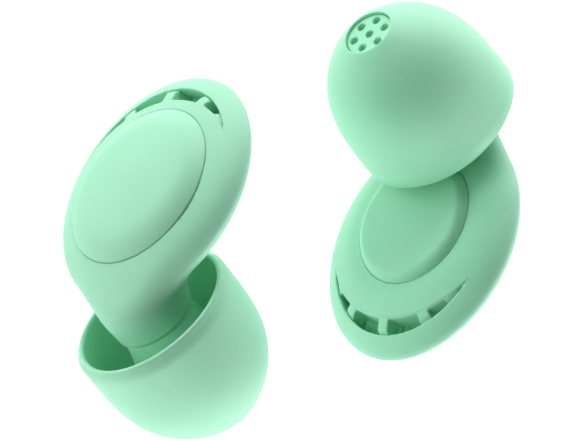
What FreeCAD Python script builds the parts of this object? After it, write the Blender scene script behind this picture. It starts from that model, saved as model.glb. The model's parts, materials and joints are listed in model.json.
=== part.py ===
import FreeCAD, Part
import math
import os
from FreeCAD import Placement, Rotation, Vector

# A pair of reusable ear plugs.  Each plug is a domed disc with a raised pad on each face
# and a crescent of vents along one edge, a neck, a hollow stem with an acoustic filter,
# and a hollow silicone tip that pulls off the stem.
#
# One plug is modelled in its own frame, in millimetres: the origin is the centre of the
# tip's open rim, +Z runs along the stem from the tip towards the body, and +X points
# towards the vents.  The disc leans, so its face frame is U (towards the vents), +Y, and
# N (out of the outer face).  Both plugs are then laid on their edges on Z = 0.

# --- ear tip ----------------------------------------------------------------------------
RIM_R = 6.25            # outer edge of the open rim
TIP_MAX_R = 6.5         # widest place of the dome
TIP_MAX_Z = -0.25       # and where it is
TIP_LEN = 10.9          # from the rim's plane to the tip's end
MOUTH_R = 1.92          # sound opening, and the bore that grips the stem
DOME_POWER = 3.77       # the dome stays full, then turns in late
DOME_ROUND = 1.07
END_ROUND = (0.1, 0.06) # small round at the sound opening, across and along
# Curves of the tip's section.  The dome is given as the heights it passes through; the
# others are (radius, height) places: the sleeve's outside from its end just short of the
# neck, the bottom of the pocket between sleeve and skirt, and the skirt's inside.
DOME_HEIGHTS = (TIP_MAX_Z, -2.0, -4.0, -6.0, -7.5, -8.8, -9.7, -10.4)
SLEEVE = ((2.85, -0.85), (3.2, -2.4), (3.45, -4.2), (3.15, -7.4))
POCKET = ((3.5, -8.0), (4.1, -7.75))
SKIRT = ((4.9, -6.3), (5.55, -4.0), (5.9, -1.5), (5.83, 0.0))

# --- stem, filter and grille ------------------------------------------------------------
STEM_R = 1.88           # 0.04 mm clear of the tip's bore
STEM_BORE_R = 1.25
STEM_END_Z = -9.95
STEM_ROOT_Z = 1.5
FLANGE_R = 2.5          # anchor flange moulded into the neck
FLANGE_Z = 0.3
FLANGE_T = 0.6
CHANNEL_TOP_Z = 2.3     # the neck's sound channel ends here, in the chamber
GRILLE_RECESS = 0.25    # the grille's face sits this far inside the tip's end
GRILLE_SPIGOT = 0.5
GRILLE_HOLE_R = 0.33
GRILLE_RING_R = 1.3
GRILLE_HOLES = 6        # around one in the middle
GRILLE_TURN = 57.0      # degrees
FILTER_Z = (-8.4, -5.4)
FILTER_BORE_R = 0.7
MESH_T = 0.12
RETAINER_T = 0.5
RETAINER_BORE_R = 0.9

# --- body disc --------------------------------------------------------------------------
DISC_X = 7.95           # centre of the disc in the plug's frame
DISC_Z = 4.5
DISC_LEAN = 14.1        # degrees between the disc's N and the stem's axis
DISC_A = 9.5            # half length, along U
DISC_B = 8.55           # half width, along Y
# Each face: its height over the disc's centre, how full it is, and how much lower it gets
# for each millimetre towards the vents, as a share of that height.
OUTER_FACE = {"height": 2.33, "power": 3.5, "wedge": 0.0193}
INNER_FACE = {"height": 2.0, "power": 4.2, "wedge": 0.01}
FACE_RINGS = (1.0, 0.985, 0.95, 0.89, 0.8, 0.69, 0.55, 0.38, 0.2)  # parts of the rim's size
NECK_END_Z = -0.75
NECK_R = 3.05
# The neck's rings as (centre X, centre Z, growth in radius, lean in degrees).
NECK = ((0.0, NECK_END_Z, 0.0, 0.0), (0.02, 0.3, 0.07, 1.0), (0.4, 1.6, 0.5, 5.0),
        (1.45, 2.9, 1.25, 11.0), (2.55, 3.9, 1.25, DISC_LEAN), (3.1, 4.5, 0.9, DISC_LEAN))

# --- pads: half length, half width, centre along U, and heights above the middle plane ----
# From the crown a pad bows down by "bow" at its edge, and rolls down by "roll" more from
# the "land" part of its size outwards; "tilt" lowers it towards the vents.
OUTER_PAD = {"a": 6.48, "b": 6.15, "u": -0.67, "foot": 1.25, "crown": 3.43, "tilt": 0.017,
             "bow": 0.79, "roll": 0.68, "power": 3.0, "land": 0.62}
INNER_PAD = {"a": 5.1, "b": 5.0, "u": -1.05, "foot": 1.25, "crown": 2.45, "tilt": 0.0,
             "bow": 0.0, "roll": 0.6, "power": 2.5, "land": 0.83}
PAD_RINGS = (1.0, 0.96, 0.91, 0.85, 0.77, 0.67, 0.54, 0.39, 0.23)

# --- chamber between the shells, and the crescent of vents --------------------------------
CHAMBER = {"a": 7.6, "b": 6.2, "u": -0.75, "half": 0.6}
SLOT_INSET = (1.55, 1.4)  # outer edge of the slot, in from the rim along U and along Y
SLOT_IN_R = 7.55        # inner edge, about a centre further from the vents
SLOT_IN_U = -1.1
THROUGH = 4.0           # half length of a cut that goes right through the disc
PAST = 1.0              # how far a cut runs past what it cuts
BEYOND = 40.0           # size of a block that takes in everything on one side
INSERT_SCALE = 0.9      # the insert lies a little below the faces
RAIL_T = 0.3            # thin wall that joins the ribs
RIB_W = 0.92
RIB_ANGLES = (-30.0, 0.0, 30.0)
WINDOW_END = 47.0       # degrees, where the last windows stop

# --- the pair -----------------------------------------------------------------------------
ROLL = 4.5              # degrees about the stem: the vents end dips
PITCH = -3.0            # degrees: the stem rises a little towards the tip
PAIR = {
    "left": {"turn": 0.0, "place": (-16.34, 7.03)},
    "right": {"turn": 185.6, "place": (16.34, -7.03)},
}

X_AXIS = Vector(1, 0, 0)
Y_AXIS = Vector(0, 1, 0)
Z_AXIS = Vector(0, 0, 1)
ORIGIN = Vector(0, 0, 0)


def around(count, first=0.0):
    """Angles of count places evenly around a circle."""
    return [first + 2.0 * math.pi * i / count for i in range(count)]


def cylinder(radius, z_low, z_high, x=0.0, y=0.0):
    return Part.makeCylinder(radius, z_high - z_low, Vector(x, y, z_low))


def tube(outer_r, inner_r, z_low, z_high):
    return cylinder(outer_r, z_low, z_high).cut(cylinder(inner_r, z_low, z_high))


def section_line(p, q):
    """Straight edge of a section in the XZ plane, between (r, z) places."""
    return Part.makeLine(Vector(p[0], 0, p[1]), Vector(q[0], 0, q[1]))


def section_curve(points):
    """One smooth edge of a section, through (r, z) places."""
    curve = Part.BSplineCurve()
    curve.interpolate([Vector(r, 0, z) for r, z in points])
    return curve.toShape()


# --- ear tip --------------------------------------------------------------------------------

def dome_radius(z):
    """Outer radius of the tip at height z, below its widest place."""
    part_down = min(1.0, (TIP_MAX_Z - z) / (TIP_LEN + TIP_MAX_Z))
    fullness = (1 - part_down ** DOME_POWER) ** (1 / DOME_ROUND)
    return MOUTH_R + (TIP_MAX_R - MOUTH_R) * fullness


def ear_tip():
    """Dome, skirt and the inner sleeve that grips the stem, as one moulding."""
    dome = [(dome_radius(z), z) for z in DOME_HEIGHTS]
    dome.append((MOUTH_R + END_ROUND[0], END_ROUND[1] - TIP_LEN))
    mouth = (MOUTH_R, -TIP_LEN)
    sleeve_end = (MOUTH_R, SLEEVE[0][1])
    rim = (RIM_R, 0.0)
    edges = [
        section_line(rim, dome[0]),
        section_curve(dome),
        section_line(dome[-1], mouth),
        section_line(mouth, sleeve_end),
        section_line(sleeve_end, SLEEVE[0]),
        section_curve(SLEEVE),
        section_curve((SLEEVE[-1], *POCKET, SKIRT[0])),
        section_curve(SKIRT),
        section_line(SKIRT[-1], rim),
    ]
    return Part.Face(Part.Wire(edges)).revolve(ORIGIN, Z_AXIS, 360.0)


# --- stem, filter and grille ----------------------------------------------------------------

def nozzle_stem():
    stem = tube(STEM_R, STEM_BORE_R, STEM_END_Z, STEM_ROOT_Z)
    flange = tube(FLANGE_R, STEM_BORE_R, FLANGE_Z, FLANGE_Z + FLANGE_T)
    return stem.fuse(flange).removeSplitter()


def nozzle_grille():
    """Round cap on the stem's end, with one hole in the middle of a ring of holes."""
    face_z = GRILLE_RECESS - TIP_LEN
    plate = cylinder(STEM_R, face_z, STEM_END_Z)
    plate = plate.fuse(cylinder(STEM_BORE_R, STEM_END_Z, STEM_END_Z + GRILLE_SPIGOT))
    low, high = face_z - PAST, STEM_END_Z + GRILLE_SPIGOT + PAST
    holes = [cylinder(GRILLE_HOLE_R, low, high)]
    for angle in around(GRILLE_HOLES, math.radians(GRILLE_TURN)):
        x = GRILLE_RING_R * math.cos(angle)
        y = GRILLE_RING_R * math.sin(angle)
        holes.append(cylinder(GRILLE_HOLE_R, low, high, x, y))
    return plate.removeSplitter().cut(holes)


def filter_housing():
    return tube(STEM_BORE_R, FILTER_BORE_R, *FILTER_Z)


def filter_mesh():
    return cylinder(STEM_BORE_R, FILTER_Z[0] - MESH_T, FILTER_Z[0])


def filter_retainer():
    high = FILTER_Z[0] - MESH_T
    return tube(STEM_BORE_R, RETAINER_BORE_R, high - RETAINER_T, high)


# --- body disc, in its face frame -------------------------------------------------------------

def ellipse(a, b, u, n, tilt=0.0):
    """Closed smooth curve at height n, lower by tilt for each millimetre towards the vents."""
    points = []
    for t in around(24):
        x = u + a * math.cos(t)
        points.append(Vector(x, b * math.sin(t), n - tilt * x))
    curve = Part.BSplineCurve()
    curve.interpolate(points, True)
    return Part.Wire(curve.toShape())


def prism(a, b, u, half):
    return Part.makeLoft([ellipse(a, b, u, -half), ellipse(a, b, u, half)], True, True)


def dome(side, scale=1.0):
    """Half of the disc, from its middle plane out to one face."""
    face = OUTER_FACE if side > 0 else INNER_FACE
    wires = []
    for part in FACE_RINGS:
        n = side * scale * face["height"] * math.sqrt(1 - part ** face["power"])
        wires.append(ellipse(DISC_A * part, DISC_B * part, 0, n, n * face["wedge"]))
    return Part.makeLoft(wires, True, False)


def pad(spec, side):
    """Raised pad: a straight edge, a rolled shoulder and a gently bowed or flat crown."""
    u = spec["u"]
    rings = []
    for part in PAD_RINGS:
        past = max(0.0, part - spec["land"]) / (1 - spec["land"])
        n = spec["crown"] - spec["bow"] * part ** 2 - spec["roll"] * past ** spec["power"]
        if spec["bow"] or past:
            rings.append(ellipse(spec["a"] * part, spec["b"] * part, u, side * n,
                                 side * spec["tilt"]))
    foot = ellipse(spec["a"], spec["b"], u, side * spec["foot"])
    base = Part.makeLoft([foot, rings[0]], True, True)
    return base.fuse(Part.makeLoft(rings, True, False))


def slot():
    """Crescent between the slot's outer and inner edges, right through the disc."""
    outer = prism(DISC_A - SLOT_INSET[0], DISC_B - SLOT_INSET[1], 0, THROUGH)
    return outer.cut(prism(SLOT_IN_R, SLOT_IN_R, SLOT_IN_U, THROUGH + PAST))


def chamber():
    """Hollow between the shells, which carries sound from the vents to the stem."""
    return prism(CHAMBER["a"], CHAMBER["b"], CHAMBER["u"], CHAMBER["half"])


def rib_space(angle):
    box = Part.makeBox(BEYOND, RIB_W, 2 * THROUGH, Vector(0, -RIB_W / 2, -THROUGH))
    box.rotate(ORIGIN, Z_AXIS, angle)
    return box


def end_space(side):
    """The part of the slot beyond the last window, on the +Y or the -Y side."""
    box = Part.makeBox(BEYOND, BEYOND, 2 * THROUGH, Vector(0, 0, -THROUGH))
    box.rotate(ORIGIN, Z_AXIS, WINDOW_END)
    return box if side > 0 else box.mirror(ORIGIN, Y_AXIS)


def vent_grille():
    """Insert in the crescent slot: two thin rails, three ribs and two closed ends."""
    crescent = slot()
    rail_r = SLOT_IN_R + RAIL_T
    pieces = [crescent.common(prism(rail_r, rail_r, SLOT_IN_U, THROUGH + PAST)).cut(chamber())]
    pieces += [crescent.common(rib_space(angle)) for angle in RIB_ANGLES]
    pieces += [crescent.common(end_space(side)) for side in (1, -1)]
    block = pieces[0].multiFuse(pieces[1:])
    lens = dome(1, INSERT_SCALE).fuse(dome(-1, INSERT_SCALE))
    return block.common(lens).removeSplitter()


def neck():
    """Loft from the neck's round end up into the disc, in the plug's frame."""
    rings = []
    for x, z, growth, lean in NECK:
        ring = ellipse(NECK_R + growth, NECK_R + growth, 0, 0)
        ring.Placement = Placement(Vector(x, 0, z), Rotation(Y_AXIS, -lean))
        rings.append(ring)
    return Part.makeLoft(rings, True, False)


def stem_space():
    """Space that the stem, its flange and the sound channel take in the neck."""
    space = cylinder(STEM_R, NECK_END_Z - PAST, STEM_ROOT_Z)
    space = space.fuse(cylinder(FLANGE_R, FLANGE_Z, FLANGE_Z + FLANGE_T))
    return space.fuse(cylinder(STEM_BORE_R, STEM_ROOT_Z - PAST, CHANNEL_TOP_Z))


def disc_placement():
    """From the disc's face frame to the plug's frame."""
    return Placement(Vector(DISC_X, 0, DISC_Z), Rotation(Y_AXIS, -DISC_LEAN))


def in_face_frame(shape):
    shape.Placement = disc_placement().inverse().multiply(shape.Placement)
    return shape


def shell(side, pad_spec):
    """One half of the disc with its share of the neck, hollowed for what it holds."""
    low = 0 if side < 0 else -BEYOND
    other_half = Part.makeBox(BEYOND, BEYOND, BEYOND, Vector(-BEYOND / 2, -BEYOND / 2, low))
    solid = dome(side).fuse(in_face_frame(neck()).cut(other_half))
    solid = solid.cut([slot(), chamber(), pad(pad_spec, side), in_face_frame(stem_space())])
    return max(solid.Solids, key=lambda piece: piece.Volume)


def plug_pieces():
    """Every piece of one plug, in the plug's own frame."""
    pieces = {
        "outer_shell": shell(1, OUTER_PAD),
        "inner_shell": shell(-1, INNER_PAD),
        "outer_pad": pad(OUTER_PAD, 1),
        "inner_pad": pad(INNER_PAD, -1),
        "vent_grille": vent_grille(),
    }
    for shape in pieces.values():
        shape.Placement = disc_placement().multiply(shape.Placement)
    pieces["ear_tip"] = ear_tip()
    pieces["nozzle_stem"] = nozzle_stem()
    pieces["nozzle_grille"] = nozzle_grille()
    pieces["filter_housing"] = filter_housing()
    pieces["filter_mesh"] = filter_mesh()
    pieces["filter_retainer"] = filter_retainer()
    return pieces


# --- the pair -------------------------------------------------------------------------------

def lay_down(spec):
    """From the plug's frame to the pair's: the stem near level, the disc on its edge."""
    turn = Rotation(Z_AXIS, spec["turn"])
    on_edge = Rotation(X_AXIS, -90.0)
    place = Vector(spec["place"][0], spec["place"][1], 0)
    return Placement(place, turn * on_edge * Rotation(X_AXIS, PITCH) * Rotation(Z_AXIS, ROLL))


def main():
    os.makedirs("parts", exist_ok=True)
    pair = {}
    box = FreeCAD.BoundBox()
    for side, spec in PAIR.items():
        pose = lay_down(spec)
        for name, shape in plug_pieces().items():
            shape.Placement = pose.multiply(shape.Placement)
            pair[side + "_" + name] = shape
            box.add(shape.optimalBoundingBox(False))
    origin = Vector(box.Center.x, box.Center.y, box.ZMin)
    for name, shape in pair.items():
        shape.translate(-origin)
        shape.exportStep("parts/" + name + ".step")
        print(name, shape.isValid(), len(shape.Solids), round(shape.Volume, 2))
    print("box", [round(v, 3) for v in (box.XLength, box.YLength, box.ZLength)])
    print("origin", [round(v, 4) for v in origin])


main()
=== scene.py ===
"""Looks of a pair of reusable silicone ear plugs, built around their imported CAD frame.

Every size below is in millimetres in one plug's own frame: the origin is the centre of the
tip's open rim, Z runs along the stem from the tip to the body and X points to the vents.
The disc leans, so its faces use a frame of their own: U to the vents, Y, N outwards.
"""
import json
import math

import bpy
import bmesh
import numpy as np
from mathutils import Matrix, Vector


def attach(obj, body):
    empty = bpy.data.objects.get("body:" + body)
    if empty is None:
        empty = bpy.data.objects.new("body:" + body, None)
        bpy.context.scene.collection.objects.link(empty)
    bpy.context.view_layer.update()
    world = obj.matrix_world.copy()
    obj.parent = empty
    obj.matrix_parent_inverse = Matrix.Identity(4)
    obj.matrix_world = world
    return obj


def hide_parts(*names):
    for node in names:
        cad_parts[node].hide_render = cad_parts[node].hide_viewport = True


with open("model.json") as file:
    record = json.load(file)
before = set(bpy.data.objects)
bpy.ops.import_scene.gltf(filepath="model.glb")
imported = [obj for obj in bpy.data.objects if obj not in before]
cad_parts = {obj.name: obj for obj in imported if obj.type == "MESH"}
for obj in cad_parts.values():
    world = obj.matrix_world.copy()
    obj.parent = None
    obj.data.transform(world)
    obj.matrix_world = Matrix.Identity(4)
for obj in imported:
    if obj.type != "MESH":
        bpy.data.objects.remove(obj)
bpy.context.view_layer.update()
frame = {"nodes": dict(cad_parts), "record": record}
SIDES = ("left", "right")
MM = 0.001

# --- body disc ----------------------------------------------------------------------------
# The disc's outline is the CAD model's; its faces slope off slightly sooner towards the rim.
DISC_X, DISC_Z = 7.95, 4.5
DISC_LEAN = math.radians(14.1)
DISC_A, DISC_B = 9.5, 8.55
# Each face: its height, how full it and its rim are, and how much lower it gets to the vents.
OUTER_FACE, INNER_FACE = (2.45, 2.9, 1.8, 0.0193), (2.25, 3.0, 1.75, 0.01)
RIM_MIX = 1.0                           # the faces blend within this much of the middle plane
VALLEY, VALLEY_W = 0.15, 0.75           # shallow valley round the inner pad
NECK_R, NECK_END_Z, NECK_TOP_Z = 3.05, -0.75, 2.5
NECK_BLEND = 2.6                        # how widely the neck flows into the disc
NECK_TOP_ROUND = 2.0
EDGE_ROUND = 0.12                       # small round on moulded edges
LIP_ROUND = 2 * EDGE_ROUND              # and on the neck's free end

# --- crescent of vents --------------------------------------------------------------------
SLOT_A, SLOT_B = DISC_A - 1.55, DISC_B - 1.4
SLOT_IN_U, SLOT_IN_R, RAIL_T = -1.1, 7.55, 0.3
RIB_W = 0.92
RIB_ANGLES = np.radians((-30.0, 0.0, 30.0))
WINDOW_END = math.radians(47.0)         # where the last windows stop
WINDOW_ROUND, RAIL_ROUND = 0.35, 0.2    # rounds of a window's corners
GROOVE, GROOVE_W = 0.3, 0.4             # fine groove at the crescent's outer edge
INSERT_FIT = 0.02
RAIL_PROUD = 0.04                       # the rail stands in front of the slot's wall

# --- pads ---------------------------------------------------------------------------------
# A pad bows down by "bow" from its crown to its edge, and rolls down by "roll" more from
# the "land" part of its size outwards; "tilt" lowers it towards the vents.
OUTER_PAD = {"a": 6.48, "b": 6.15, "u": -0.67, "foot": 1.25, "crown": 3.43, "tilt": 0.017,
             "bow": 0.79, "roll": 0.68, "power": 3.0, "land": 0.62}
INNER_PAD = {"a": 5.1, "b": 5.0, "u": -1.05, "foot": 1.25, "crown": 2.45, "tilt": 0.0,
             "bow": 0.0, "roll": 0.6, "power": 2.5, "land": 0.83}
PAD_EDGE = (0.05, 0.2, 0.5)             # depths of the rings on a pad's straight edge
MOUNT_PART = 0.23                       # the flat land at the outer pad's crown

# --- ear tip and stem ---------------------------------------------------------------------
TIP_RIM_R, TIP_MAX_R, TIP_MAX_Z, TIP_LEN = 6.25, 6.5, -0.25, 10.9
MOUTH_R, LIP_T = 1.92, 0.42
MOUTH_ROUND = 0.1
DOME_POWER, DOME_ROUND = 3.77, 1.07
DOME_STOP = 0.12                        # the dome's curve stops this far above the tip's end
SLEEVE_TOP_Z, SLEEVE_TOP_R = -0.85, 2.85
SLEEVE_BEVEL = 0.12
# Places (radius, height) on the sleeve's outside, the pocket's bottom and the skirt's inside.
SLEEVE = ((3.0, -1.9), (3.42, -3.6), (3.38, -5.5), (3.15, -7.4))
POCKET = ((3.5, -8.0), (4.1, -7.75))
SKIRT = ((4.9, -6.3), (5.55, -4.0), (5.85, -1.5))
STEM_R, STEM_BORE_R, STEM_END_Z = 1.88, 1.25, -9.95
GRILLE_RECESS, GRILLE_HOLE_R, GRILLE_RING_R, GRILLE_HOLES = 0.25, 0.33, 1.3, 6
GRILLE_TURN = math.radians(57.0)
SPIGOT, SPIGOT_OVERLAP = 0.5, 0.2       # the grille's plug inside the stem's end

# --- nets: (lowest corner, highest corner, step) of the grid laid over each moulded shape ---
BODY_GRID = ((-12.4, -9.2, -4.4), (10.1, 9.2, 2.9), 0.14)
INSERT_GRID = ((0.0, -8.0, -1.9), (8.2, 8.0, 1.9), 0.085)
GRILLE_GRID = ((-2.1, -2.1, -11.0), (2.1, 2.1, -9.2), 0.05)
PULL_LAPS, RELAX_LAPS = 6, 4
TINY = 1e-9                             # keeps divisions by zero away


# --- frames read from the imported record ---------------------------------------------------

def unit(v):
    return np.asarray(v, float) / np.linalg.norm(v)


def plug_frame(side):
    """Rotation (columns X, Y, Z) and place, in millimetres, of one plug."""
    record = frame["record"]
    joint = next(j for j in record["behaviour"]["joints"] if j["name"] == side + "_tip_pull")
    mount = next(m for m in record["mounts"] if m["name"] == side + "_pad_face")
    z_axis = -unit(joint["axis"])
    y_axis = unit(np.cross(mount["axis"], z_axis))
    turn = np.stack([np.cross(y_axis, z_axis), y_axis, z_axis], axis=1)
    u = OUTER_PAD["u"]
    land = face_to_plug(np.array([[u, 0.0, pad_height(OUTER_PAD, MOUNT_PART, u)]]))[0]
    return turn, np.array(mount["pos_m"]) / MM - turn @ land


def pad_height(spec, part, u):
    """Height of a pad at a part of its size, at place u along the disc."""
    past = np.maximum(0.0, part - spec["land"]) / (1.0 - spec["land"])
    fall = spec["bow"] * part ** 2 + spec["roll"] * past ** spec["power"]
    return spec["crown"] - fall - spec["tilt"] * u


def face_to_plug(p):
    """From the disc's face frame (U, Y, N) to the plug's frame."""
    c, s = math.cos(DISC_LEAN), math.sin(DISC_LEAN)
    x = DISC_X + p[:, 0] * c - p[:, 2] * s
    z = DISC_Z + p[:, 0] * s + p[:, 2] * c
    return np.stack([x, p[:, 1], z], axis=1)


def turn_to_plug(v):
    c, s = math.cos(DISC_LEAN), math.sin(DISC_LEAN)
    return np.stack([v[:, 0] * c - v[:, 2] * s, v[:, 1], v[:, 0] * s + v[:, 2] * c], axis=1)


# --- meshes -------------------------------------------------------------------------------

def make_object(name, verts, faces, side, normals=None):
    """Object from points in a plug's frame; normals, if given, are one for each face corner."""
    turn, place = plug_frame(side)
    world = (verts @ turn.T + place) * MM
    mesh = bpy.data.meshes.new(name)
    mesh.from_pydata(world.tolist(), [], [list(map(int, f)) for f in faces])
    mesh.polygons.foreach_set("use_smooth", np.ones(len(mesh.polygons), bool))
    mesh.validate()
    if normals is not None:
        mesh.normals_split_custom_set((normals @ turn.T).tolist())
    mesh.update()
    obj = bpy.data.objects.new(name, mesh)
    bpy.context.scene.collection.objects.link(obj)
    return obj


def lathe(profile, segments=128):
    """Closed solid of revolution about Z from a closed outline of (r, z) places."""
    outline = np.array(profile, float)
    count = len(outline)
    angles = 2.0 * math.pi * np.arange(segments) / segments
    r, z = outline[:, 0], outline[:, 1]
    x = np.outer(np.cos(angles), r)
    y = np.outer(np.sin(angles), r)
    verts = np.stack([x, y, np.broadcast_to(z, x.shape)], axis=2).reshape(-1, 3)
    i = np.arange(segments)[:, None] * count
    j = ((np.arange(segments) + 1) % segments)[:, None] * count
    a = np.arange(count)[None, :]
    b = ((np.arange(count) + 1) % count)[None, :]
    faces = np.stack([i + a, j + a, j + b, i + b], axis=2).reshape(-1, 4)
    return verts, faces


def rounded(outline, radius, steps=5):
    """The outline with each corner rounded; radius is one number, or one for each corner."""
    outline = np.array(outline, float)
    radii = np.broadcast_to(radius, len(outline))
    result = []
    for i, corner in enumerate(outline):
        before, after = outline[i - 1] - corner, outline[(i + 1) % len(outline)] - corner
        reach = min(radii[i], 0.45 * np.linalg.norm(before), 0.45 * np.linalg.norm(after))
        if reach < 1e-4:
            result.append(corner)
            continue
        p, q = corner + unit(before) * reach, corner + unit(after) * reach
        for t in np.linspace(0, 1, steps):
            result.append((1 - t) ** 2 * p + 2 * t * (1 - t) * corner + t * t * q)
    return result


# --- implicit solids: negative inside, in millimetres near the surface --------------------

def smooth_min(a, b, width):
    h = np.maximum(width - np.abs(a - b), 0.0) / width
    return np.minimum(a, b) - h * h * width / 4.0


def smooth_max(a, b, width):
    return -smooth_min(-a, -b, width)


def face_field(p, face):
    height, power, rim_power, wedge = face
    u, y = p[:, 0], p[:, 1]
    across = np.sqrt((u / DISC_A) ** 2 + (y / DISC_B) ** 2) + TINY
    top = height * (1.0 - wedge * u)
    up = np.abs(p[:, 2]) / top + TINY
    slope = power * across ** (power - 2)
    rise = rim_power * up ** (rim_power - 1) / top
    gradient = np.sqrt((slope * u / DISC_A ** 2 + rise * up * height * wedge) ** 2
                       + (slope * y / DISC_B ** 2) ** 2 + rise ** 2)
    return (across ** power + up ** rim_power - 1.0) / (gradient + 1e-6)


def disc_field(p):
    """The body disc without its neck; its two faces are domed differently."""
    from_pad = ellipse_field(p, INNER_PAD["a"], INNER_PAD["b"], INNER_PAD["u"])
    valley = VALLEY * np.exp(-(from_pad / VALLEY_W) ** 2) * np.clip(-p[:, 2], 0.0, 1.0)
    outer = np.clip(0.5 + 0.5 * p[:, 2] / RIM_MIX, 0.0, 1.0)
    outer = outer * outer * (3.0 - 2.0 * outer)
    inner_face = face_field(p, INNER_FACE) + valley
    return outer * face_field(p, OUTER_FACE) + (1.0 - outer) * inner_face


def neck_field(p):
    q = face_to_plug(p)
    side = np.hypot(q[:, 0], q[:, 1]) - NECK_R
    capped = smooth_max(side, q[:, 2] - NECK_TOP_Z, NECK_TOP_ROUND)
    return smooth_max(capped, NECK_END_Z - q[:, 2], LIP_ROUND)


def ellipse_field(p, a, b, u):
    x, y = p[:, 0] - u, p[:, 1]
    across = np.sqrt((x / a) ** 2 + (y / b) ** 2) + TINY
    gradient = np.sqrt((x / a ** 2) ** 2 + (y / b ** 2) ** 2) / across + TINY
    return (across - 1.0) / gradient


def from_slot_centre(p):
    return np.hypot(p[:, 0] - SLOT_IN_U, p[:, 1])


def body_field(p):
    """Disc and neck as one flowing shape, with the crescent slot and the pads' pockets."""
    body = smooth_min(disc_field(p), neck_field(p), NECK_BLEND)
    slot = np.maximum(ellipse_field(p, SLOT_A, SLOT_B, 0.0),
                      SLOT_IN_R + RAIL_T - from_slot_centre(p))
    body = smooth_max(body, -slot, EDGE_ROUND)
    for spec, side in ((OUTER_PAD, 1.0), (INNER_PAD, -1.0)):
        outline = ellipse_field(p, spec["a"], spec["b"], spec["u"])
        pocket = np.maximum(outline, spec["foot"] - side * p[:, 2])
        body = smooth_max(body, -pocket, EDGE_ROUND)
    return body


def insert_field(p):
    """Ribs, rails and closed ends that fill the crescent slot."""
    outer = ellipse_field(p, SLOT_A + INSERT_FIT, SLOT_B + INSERT_FIT, 0.0)
    crescent = np.maximum(outer, SLOT_IN_R - from_slot_centre(p))
    nearness = np.clip(1.0 + outer / GROOVE_W, 0.0, 1.0)
    lens = disc_field(p) + INSERT_FIT + GROOVE * nearness ** 2
    solid = np.maximum(crescent, lens)
    to_rib = np.min([np.abs(p[:, 1] * math.cos(angle) - p[:, 0] * math.sin(angle))
                     for angle in RIB_ANGLES], axis=0)
    past_end = np.abs(p[:, 1]) * math.cos(WINDOW_END) - p[:, 0] * math.sin(WINDOW_END)
    window = smooth_max(RIB_W / 2 - to_rib, past_end, WINDOW_ROUND)
    rail_r = SLOT_IN_R + RAIL_T + RAIL_PROUD
    window = smooth_max(window, rail_r - from_slot_centre(p), RAIL_ROUND)
    return smooth_max(solid, -window, EDGE_ROUND)


def grille_field(p):
    """Cap of the nozzle in the plug's frame, with its ring of small holes."""
    r = np.hypot(p[:, 0], p[:, 1])
    face_z = GRILLE_RECESS - TIP_LEN
    plate = smooth_max(r - STEM_R, face_z - p[:, 2], EDGE_ROUND)
    plate = np.maximum(plate, p[:, 2] - STEM_END_Z)
    spigot = np.maximum(r - STEM_BORE_R, p[:, 2] - STEM_END_Z - SPIGOT)
    spigot = np.maximum(spigot, STEM_END_Z - SPIGOT_OVERLAP - p[:, 2])
    solid = np.minimum(plate, spigot)
    hole = r
    for k in range(GRILLE_HOLES):
        angle = GRILLE_TURN + 2.0 * math.pi * k / GRILLE_HOLES
        x, y = GRILLE_RING_R * math.cos(angle), GRILLE_RING_R * math.sin(angle)
        hole = np.minimum(hole, np.hypot(p[:, 0] - x, p[:, 1] - y))
    return smooth_max(solid, GRILLE_HOLE_R - hole, EDGE_ROUND)


def slopes(field, p, step=0.004):
    out = np.empty_like(p)
    for axis in range(3):
        shift = np.zeros(3)
        shift[axis] = step
        out[:, axis] = (field(p + shift) - field(p - shift)) / (2 * step)
    return out


def field_normals(field, p):
    normals = slopes(field, p)
    return normals / (np.linalg.norm(normals, axis=1)[:, None] + TINY)


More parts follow.
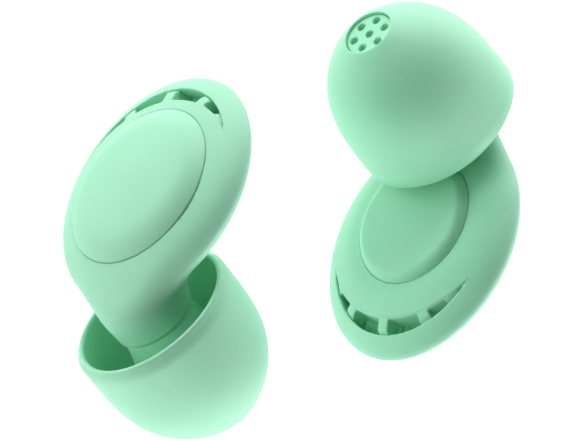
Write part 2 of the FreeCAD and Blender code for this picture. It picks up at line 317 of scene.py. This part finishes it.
def surface_net(field, low, high, step):
    """Quads along a field's zero surface, relaxed and then drawn exactly onto it."""
    axes = [np.arange(a, b + step, step) for a, b in zip(low, high)]
    shape = tuple(len(a) for a in axes)
    grid = np.stack(np.meshgrid(*axes, indexing="ij"), axis=-1).reshape(-1, 3)
    values = np.concatenate([field(part) for part in np.array_split(grid, 24)]).reshape(shape)
    inside = values < 0
    cells = tuple(n - 1 for n in shape)
    total = np.zeros(cells + (3,))
    count = np.zeros(cells)
    corners = [(i, j, k) for i in (0, 1) for j in (0, 1) for k in (0, 1)]

    def at(array, c):
        return array[c[0]:c[0] + cells[0], c[1]:c[1] + cells[1], c[2]:c[2] + cells[2]]

    for c in corners:
        for axis in range(3):
            if c[axis]:
                continue
            d = tuple(1 if a == axis else c[a] for a in range(3))
            va, vb = at(values, c), at(values, d)
            cross = (va < 0) != (vb < 0)
            t = np.where(cross, va / np.where(cross, va - vb, 1.0), 0.0)
            for a in range(3):
                total[..., a] += np.where(cross, c[a] + (t if a == axis else 0.0), 0.0)
            count += cross
    active = count > 0
    index = np.full(cells, -1)
    index[active] = np.arange(active.sum())
    base = np.argwhere(active)
    verts = (base + total[active] / count[active][:, None]) * step + np.array(low)
    quads = []
    for axis in range(3):
        b, c = (axis + 1) % 3, (axis + 2) % 3
        first = [slice(None)] * 3
        second = [slice(None)] * 3
        first[axis], second[axis] = slice(0, -1), slice(1, None)
        change = inside[tuple(first)] != inside[tuple(second)]
        spots = np.argwhere(change)
        keep = (spots[:, b] > 0) & (spots[:, c] > 0)
        keep &= (spots[:, b] < cells[b]) & (spots[:, c] < cells[c])
        spots = spots[keep]
        around = []
        for db, dc in ((-1, -1), (0, -1), (0, 0), (-1, 0)):
            cell = spots.copy()
            cell[:, b] += db
            cell[:, c] += dc
            around.append(index[cell[:, 0], cell[:, 1], cell[:, 2]])
        quad = np.stack(around, axis=1)
        outward = inside[spots[:, 0], spots[:, 1], spots[:, 2]]
        quads.append(np.where(outward[:, None], quad, quad[:, ::-1]))
    quads = np.concatenate(quads)
    ends = np.concatenate([quads[:, [0, 1]], quads[:, [1, 2]], quads[:, [2, 3]], quads[:, [3, 0]]])
    degree = np.bincount(ends[:, 0], minlength=len(verts)) + TINY
    for lap in range(PULL_LAPS):
        if lap < RELAX_LAPS:
            mean = np.stack([np.bincount(ends[:, 0], verts[ends[:, 1], a], len(verts))
                             for a in range(3)], axis=1) / degree[:, None]
            normal = field_normals(field, verts)
            move = mean - verts
            move -= (move * normal).sum(1)[:, None] * normal
            verts = verts + 0.5 * move
        gradient = slopes(field, verts)
        pull = field(verts) / ((gradient ** 2).sum(1) + 1e-6)
        pull = np.clip(pull, -0.4 * step, 0.4 * step)
        verts = verts - pull[:, None] * gradient
    return verts, quads, field_normals(field, verts)


# --- body shells --------------------------------------------------------------------------

def half_shell(verts, quads, side_sign):
    """One closed half of the body, cut at the disc's middle plane."""
    bm = bmesh.new()
    made = [bm.verts.new(p) for p in verts]
    for quad in quads:
        bm.faces.new([made[i] for i in quad])
    everything = bm.verts[:] + bm.edges[:] + bm.faces[:]
    bmesh.ops.bisect_plane(bm, geom=everything, dist=1e-4, plane_co=(0, 0, 0),
                           plane_no=(0, 0, side_sign), clear_inner=True)
    rim = [edge for edge in bm.edges if edge.is_boundary]
    cap = bmesh.ops.triangle_fill(bm, edges=rim, use_beauty=True, normal=(0, 0, -side_sign))
    caps = {face for face in cap["geom"] if isinstance(face, bmesh.types.BMFace)}
    for face in caps:
        if face.normal.z * side_sign > 0:
            face.normal_flip()
    bm.verts.index_update()
    points = np.array([vert.co[:] for vert in bm.verts])
    smooth = field_normals(body_field, points)
    faces, corner_normals = [], []
    for face in bm.faces:
        ids = [vert.index for vert in face.verts]
        faces.append(ids)
        flat = face in caps
        corner_normals += [(0, 0, -side_sign) if flat else smooth[i] for i in ids]
    bm.free()
    return points, faces, np.array(corner_normals, float)


BODY_NET = surface_net(body_field, *BODY_GRID)


def body_shells(side):
    for name, sign in (("outer_shell", 1.0), ("inner_shell", -1.0)):
        points, faces, normals = half_shell(*BODY_NET[:2], sign)
        obj = make_object(side + "_" + name + "_skin", face_to_plug(points), faces, side,
                          turn_to_plug(normals))
        finish_piece(obj, side, "body", name, "body_silicone")


# --- pads ---------------------------------------------------------------------------------

def pad_mesh(spec, sign, segments=192, rings=64):
    """Domed pad with a rolled shoulder and a straight edge down into its pocket."""
    angles = 2.0 * math.pi * np.arange(segments) / segments
    parts = np.sin(np.linspace(0.0, 1.0, rings + 1)[1:] * math.pi / 2)
    levels = [(part, 0.0) for part in parts] + [(1.0, depth) for depth in PAD_EDGE]
    middle = pad_height(spec, 0.0, spec["u"])
    verts = [(spec["u"], 0.0, sign * middle)]
    for part, below in levels:
        u = spec["u"] + spec["a"] * part * np.cos(angles)
        y = spec["b"] * part * np.sin(angles)
        verts += list(zip(u, y, sign * (pad_height(spec, part, u) - below)))
    verts.append((spec["u"], 0.0, sign * spec["foot"]))
    faces = []
    for k in range(segments):
        m = (k + 1) % segments
        faces.append((0, 1 + k, 1 + m))
        for ring in range(len(levels) - 1):
            a, b = 1 + ring * segments, 1 + (ring + 1) * segments
            faces.append((a + k, b + k, b + m, a + m))
        last = 1 + (len(levels) - 1) * segments
        faces.append((last + k, len(verts) - 1, last + m))
    if sign < 0:
        faces = [face[::-1] for face in faces]
    return np.array(verts), faces


def pads(side):
    for name, spec, sign in (("outer_pad", OUTER_PAD, 1.0), ("inner_pad", INNER_PAD, -1.0)):
        verts, faces = pad_mesh(spec, sign)
        obj = make_object(side + "_" + name + "_skin", face_to_plug(verts), faces, side)
        finish_piece(obj, side, "body", name, "pad_silicone")


# --- vents --------------------------------------------------------------------------------

INSERT_NET = surface_net(insert_field, *INSERT_GRID)


def vents(side):
    verts, quads, normals = INSERT_NET
    obj = make_object(side + "_vent_grille_skin", face_to_plug(verts), quads, side,
                      turn_to_plug(normals)[quads.ravel()])
    finish_piece(obj, side, "body", "vent_grille", "vent_silicone")


# --- ear tip ------------------------------------------------------------------------------

def dome_radius(z):
    part_down = np.clip((TIP_MAX_Z - z) / (TIP_LEN + TIP_MAX_Z), 0.0, 1.0)
    return MOUTH_R + (TIP_MAX_R - MOUTH_R) * (1 - part_down ** DOME_POWER) ** (1 / DOME_ROUND)


def smooth_curve(points, count):
    """Evenly spaced places along a smooth curve through a few points."""
    points = np.array(points, float)
    lengths = np.r_[0, np.cumsum(np.linalg.norm(np.diff(points, axis=0), axis=1))]
    tangents = np.gradient(points, lengths, axis=0)
    out = []
    for t in np.linspace(0, lengths[-1], count):
        i = min(int(np.searchsorted(lengths, t, side="right")) - 1, len(points) - 2)
        span = lengths[i + 1] - lengths[i]
        s = (t - lengths[i]) / span
        h = (2 * s ** 3 - 3 * s ** 2 + 1, s ** 3 - 2 * s ** 2 + s,
             -2 * s ** 3 + 3 * s ** 2, s ** 3 - s ** 2)
        out.append(h[0] * points[i] + h[1] * span * tangents[i]
                   + h[2] * points[i + 1] + h[3] * span * tangents[i + 1])
    return out


def tip_profile():
    """Closed outline of the tip's wall, from the rim down the dome and back up inside."""
    down = TIP_MAX_Z - (TIP_LEN + TIP_MAX_Z) * np.sin(np.linspace(0, 1, 70) * math.pi / 2)
    dome = [(dome_radius(z), z) for z in down if z > DOME_STOP - TIP_LEN]
    lip = LIP_T / 2
    lip_centre = TIP_RIM_R - lip
    rim = [(lip_centre + lip * math.cos(t), -lip + lip * math.sin(t))
           for t in np.linspace(math.pi, 0, 11)]
    shoulder = [(TIP_MAX_R - 0.02, TIP_MAX_Z - 0.12)]
    mouth = rounded([dome[-1], (MOUTH_R + 0.02, -TIP_LEN), (MOUTH_R, 1 - TIP_LEN)], MOUTH_ROUND)
    sleeve_end = [(MOUTH_R, SLEEVE_TOP_Z), (SLEEVE_TOP_R - SLEEVE_BEVEL, SLEEVE_TOP_Z)]
    sleeve = smooth_curve([(SLEEVE_TOP_R, SLEEVE_TOP_Z - SLEEVE_BEVEL), *SLEEVE], 30)
    pocket = smooth_curve([SLEEVE[-1], *POCKET, SKIRT[0]], 14)
    skirt = smooth_curve([*SKIRT, (lip_centre - lip, -lip)], 24)
    return (rim + shoulder + dome[4:] + mouth[5:-1] + sleeve_end + sleeve + pocket[1:]
            + skirt[1:-1])


def ear_tip(side):
    verts, faces = lathe(tip_profile())
    obj = make_object(side + "_ear_tip_skin", verts, faces[:, ::-1], side)
    finish_piece(obj, side, "tip", "ear_tip", "tip_silicone")


# --- stem and grille ----------------------------------------------------------------------

GRILLE_NET = surface_net(grille_field, *GRILLE_GRID)


def grille(side):
    verts, quads, normals = GRILLE_NET
    obj = make_object(side + "_nozzle_grille_skin", verts, quads, side, normals[quads.ravel()])
    finish_piece(obj, side, "body", "nozzle_grille", "grille_plastic")


# --- materials ----------------------------------------------------------------------------

def srgb(r, g, b):
    """Linear colour of an 8-bit sRGB one."""
    values = []
    for v in (r, g, b):
        v /= 255.0
        values.append(v / 12.92 if v <= 0.04045 else ((v + 0.055) / 1.055) ** 2.4)
    return (*values, 1.0)


CLOUD_SCALE, GRAIN_SCALE, GRAIN_DEPTH = 260.0, 9000.0, 0.00002
ROUGHNESS_SPREAD = 0.05
SOFT_RADIUS, SOFT_DEPTH = (0.45, 1.0, 0.7), 0.0006


def moulded(name, light, dark, roughness, grain, soft=0.0):
    """Moulded silicone or plastic: faint clouding of the colour and a fine matte grain."""
    mat = bpy.data.materials.new(name)
    mat.use_nodes = True
    nodes, links = mat.node_tree.nodes, mat.node_tree.links
    shader = nodes["Principled BSDF"]
    place = nodes.new("ShaderNodeTexCoord")
    cloud = nodes.new("ShaderNodeTexNoise")
    cloud.inputs["Scale"].default_value = CLOUD_SCALE
    cloud.inputs["Detail"].default_value = 3.0
    ramp = nodes.new("ShaderNodeValToRGB")
    ramp.color_ramp.elements[0].position = 0.3
    ramp.color_ramp.elements[0].color = dark
    ramp.color_ramp.elements[1].position = 0.7
    ramp.color_ramp.elements[1].color = light
    fine = nodes.new("ShaderNodeTexNoise")
    fine.inputs["Scale"].default_value = GRAIN_SCALE
    fine.inputs["Detail"].default_value = 2.0
    bump = nodes.new("ShaderNodeBump")
    bump.inputs["Strength"].default_value = grain
    bump.inputs["Distance"].default_value = GRAIN_DEPTH
    shine = nodes.new("ShaderNodeMapRange")
    shine.inputs["To Min"].default_value = roughness - ROUGHNESS_SPREAD
    shine.inputs["To Max"].default_value = roughness + ROUGHNESS_SPREAD
    links.new(place.outputs["Object"], cloud.inputs["Vector"])
    links.new(place.outputs["Object"], fine.inputs["Vector"])
    links.new(cloud.outputs["Fac"], ramp.inputs["Fac"])
    links.new(ramp.outputs["Color"], shader.inputs["Base Color"])
    links.new(fine.outputs["Fac"], bump.inputs["Height"])
    links.new(bump.outputs["Normal"], shader.inputs["Normal"])
    links.new(fine.outputs["Fac"], shine.inputs["Value"])
    links.new(shine.outputs["Result"], shader.inputs["Roughness"])
    shader.inputs["Subsurface Weight"].default_value = soft
    shader.inputs["Subsurface Radius"].default_value = SOFT_RADIUS
    shader.inputs["Subsurface Scale"].default_value = SOFT_DEPTH
    shader.inputs["Specular IOR Level"].default_value = 0.35
    return mat


MINT, MINT_DEEP = srgb(168, 235, 200), srgb(165, 232, 197)
GRILLE_MINT = srgb(166, 236, 199)
PALE_PLASTIC, PALE_PLASTIC_DEEP = srgb(214, 222, 216), srgb(205, 214, 208)
MESH_GREY, MESH_GREY_DEEP = srgb(80, 86, 83), srgb(58, 64, 61)
RING_GREY, RING_GREY_DEEP = srgb(176, 184, 179), srgb(168, 176, 171)
MATERIALS = {
    "body_silicone": moulded("body_silicone", MINT, MINT_DEEP, 0.55, 0.25, 0.25),
    "pad_silicone": moulded("pad_silicone", MINT, MINT_DEEP, 0.5, 0.2, 0.25),
    "vent_silicone": moulded("vent_silicone", MINT, MINT_DEEP, 0.55, 0.25, 0.4),
    "tip_silicone": moulded("tip_silicone", MINT, MINT_DEEP, 0.5, 0.2, 0.3),
    "stem_plastic": moulded("stem_plastic", MINT, MINT_DEEP, 0.45, 0.2),
    "grille_plastic": moulded("grille_plastic", GRILLE_MINT, MINT, 0.45, 0.2, 0.2),
    "filter_plastic": moulded("filter_plastic", PALE_PLASTIC, PALE_PLASTIC_DEEP, 0.4, 0.2),
    "mesh_fabric": moulded("mesh_fabric", MESH_GREY, MESH_GREY_DEEP, 0.8, 1.0),
    "retainer_plastic": moulded("retainer_plastic", RING_GREY, RING_GREY_DEEP, 0.5, 0.3),
}
CARRIED_OVER = {"nozzle_stem": "stem_plastic", "filter_housing": "filter_plastic",
                "filter_mesh": "mesh_fabric", "filter_retainer": "retainer_plastic"}


def finish_piece(obj, side, body, node, slot):
    obj.data.materials.clear()
    obj.data.materials.append(MATERIALS[slot])
    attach(obj, side + "_" + body)
    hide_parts(side + "_" + node)


def carried_over(side):
    """CAD nodes that are shown as they are, in a better material."""
    for node, slot in CARRIED_OVER.items():
        for place in frame["nodes"][side + "_" + node].material_slots:
            place.material = MATERIALS[slot]


# --- studio -------------------------------------------------------------------------------

VIEW_AZIMUTH, VIEW_ELEVATION = math.radians(136.0), math.radians(42.2)
VIEW_ROLL = math.radians(86.6)
VIEW_DISTANCE, VIEW_LENS = 1.0, 839.8
AIM = Vector((-6.874, 6.758, 17.520)) * MM
FLOOR_GLOW, WORLD_GLOW, BACKDROP_GLOW = 1.0, 0.02, 0.93
FLOOR_HALF = 1.5
LIGHT_SIZE, LIGHT_DISTANCE = 0.45, 0.6
# Each light: name, azimuth and elevation in degrees, power in watts.
LIGHTS = (("top", 46, 12, 2.7), ("behind_top", 1, 12, 1.75), ("fill", 136, 12, 0.55),
          ("bottom", 226, 12, 1.65), ("behind_bottom", 271, 12, 1.3),
          ("behind_high", 271, 45, 1.6), ("behind", 316, 45, 0.3))


def camera():
    back = Vector((math.cos(VIEW_AZIMUTH) * math.cos(VIEW_ELEVATION),
                   math.sin(VIEW_AZIMUTH) * math.cos(VIEW_ELEVATION), math.sin(VIEW_ELEVATION)))
    level_right = Vector((0, 0, 1)).cross(back).normalized()
    level_up = back.cross(level_right)
    right = level_right * math.cos(VIEW_ROLL) + level_up * math.sin(VIEW_ROLL)
    up = back.cross(right)
    data = bpy.data.cameras.new("camera")
    data.lens = VIEW_LENS
    data.clip_start = 0.01
    data.clip_end = 10.0
    obj = bpy.data.objects.new("camera", data)
    turn = Matrix((right, up, back)).transposed().to_4x4()
    obj.matrix_world = Matrix.Translation(AIM + back * VIEW_DISTANCE) @ turn
    bpy.context.scene.collection.objects.link(obj)
    bpy.context.scene.camera = obj


def floor():
    """Plain pale sheet that the plugs stand on."""
    mesh = bpy.data.meshes.new("floor")
    corners = [(x * FLOOR_HALF, y * FLOOR_HALF, 0) for x, y in ((-1, -1), (1, -1), (1, 1), (-1, 1))]
    mesh.from_pydata(corners, [], [(0, 1, 2, 3)])
    obj = bpy.data.objects.new("floor", mesh)
    bpy.context.scene.collection.objects.link(obj)
    mat = moulded("floor_paper", srgb(160, 160, 160), srgb(156, 156, 156), 0.9, 0.0)
    shader = mat.node_tree.nodes["Principled BSDF"]
    shader.inputs["Emission Color"].default_value = (1, 1, 1, 1)
    shader.inputs["Emission Strength"].default_value = FLOOR_GLOW
    mesh.materials.append(mat)


def area_light(name, azimuth, elevation, power):
    """Large round soft light that faces the plugs from a direction given in degrees."""
    data = bpy.data.lights.new(name, "AREA")
    data.shape = "DISK"
    data.size = LIGHT_SIZE
    data.energy = power
    obj = bpy.data.objects.new(name, data)
    az, el = math.radians(azimuth), math.radians(elevation)
    obj.location = Vector((math.cos(az) * math.cos(el), math.sin(az) * math.cos(el),
                           math.sin(el))) * LIGHT_DISTANCE
    obj.rotation_euler = (-obj.location).to_track_quat("-Z", "Y").to_euler()
    bpy.context.scene.collection.objects.link(obj)


def studio():
    """Pale backdrop, dim surround and a ring of soft lights, so that every outline is bright."""
    world = bpy.data.worlds.new("studio")
    world.use_nodes = True
    nodes, links = world.node_tree.nodes, world.node_tree.links
    surround = nodes["Background"]
    surround.inputs["Color"].default_value = (1, 1, 1, 1)
    surround.inputs["Strength"].default_value = WORLD_GLOW
    backdrop = nodes.new("ShaderNodeBackground")
    backdrop.inputs["Color"].default_value = (1, 1, 1, 1)
    backdrop.inputs["Strength"].default_value = BACKDROP_GLOW
    mix = nodes.new("ShaderNodeMixShader")
    seen = nodes.new("ShaderNodeLightPath")
    links.new(seen.outputs["Is Camera Ray"], mix.inputs["Fac"])
    links.new(surround.outputs["Background"], mix.inputs[1])
    links.new(backdrop.outputs["Background"], mix.inputs[2])
    links.new(mix.outputs["Shader"], nodes["World Output"].inputs["Surface"])
    bpy.context.scene.world = world
    for light in LIGHTS:
        area_light(*light)
    bpy.context.scene.view_settings.view_transform = "Standard"


camera()
studio()
floor()
for plug_side in SIDES:
    body_shells(plug_side)
    pads(plug_side)
    vents(plug_side)
    ear_tip(plug_side)
    grille(plug_side)
    carried_over(plug_side)
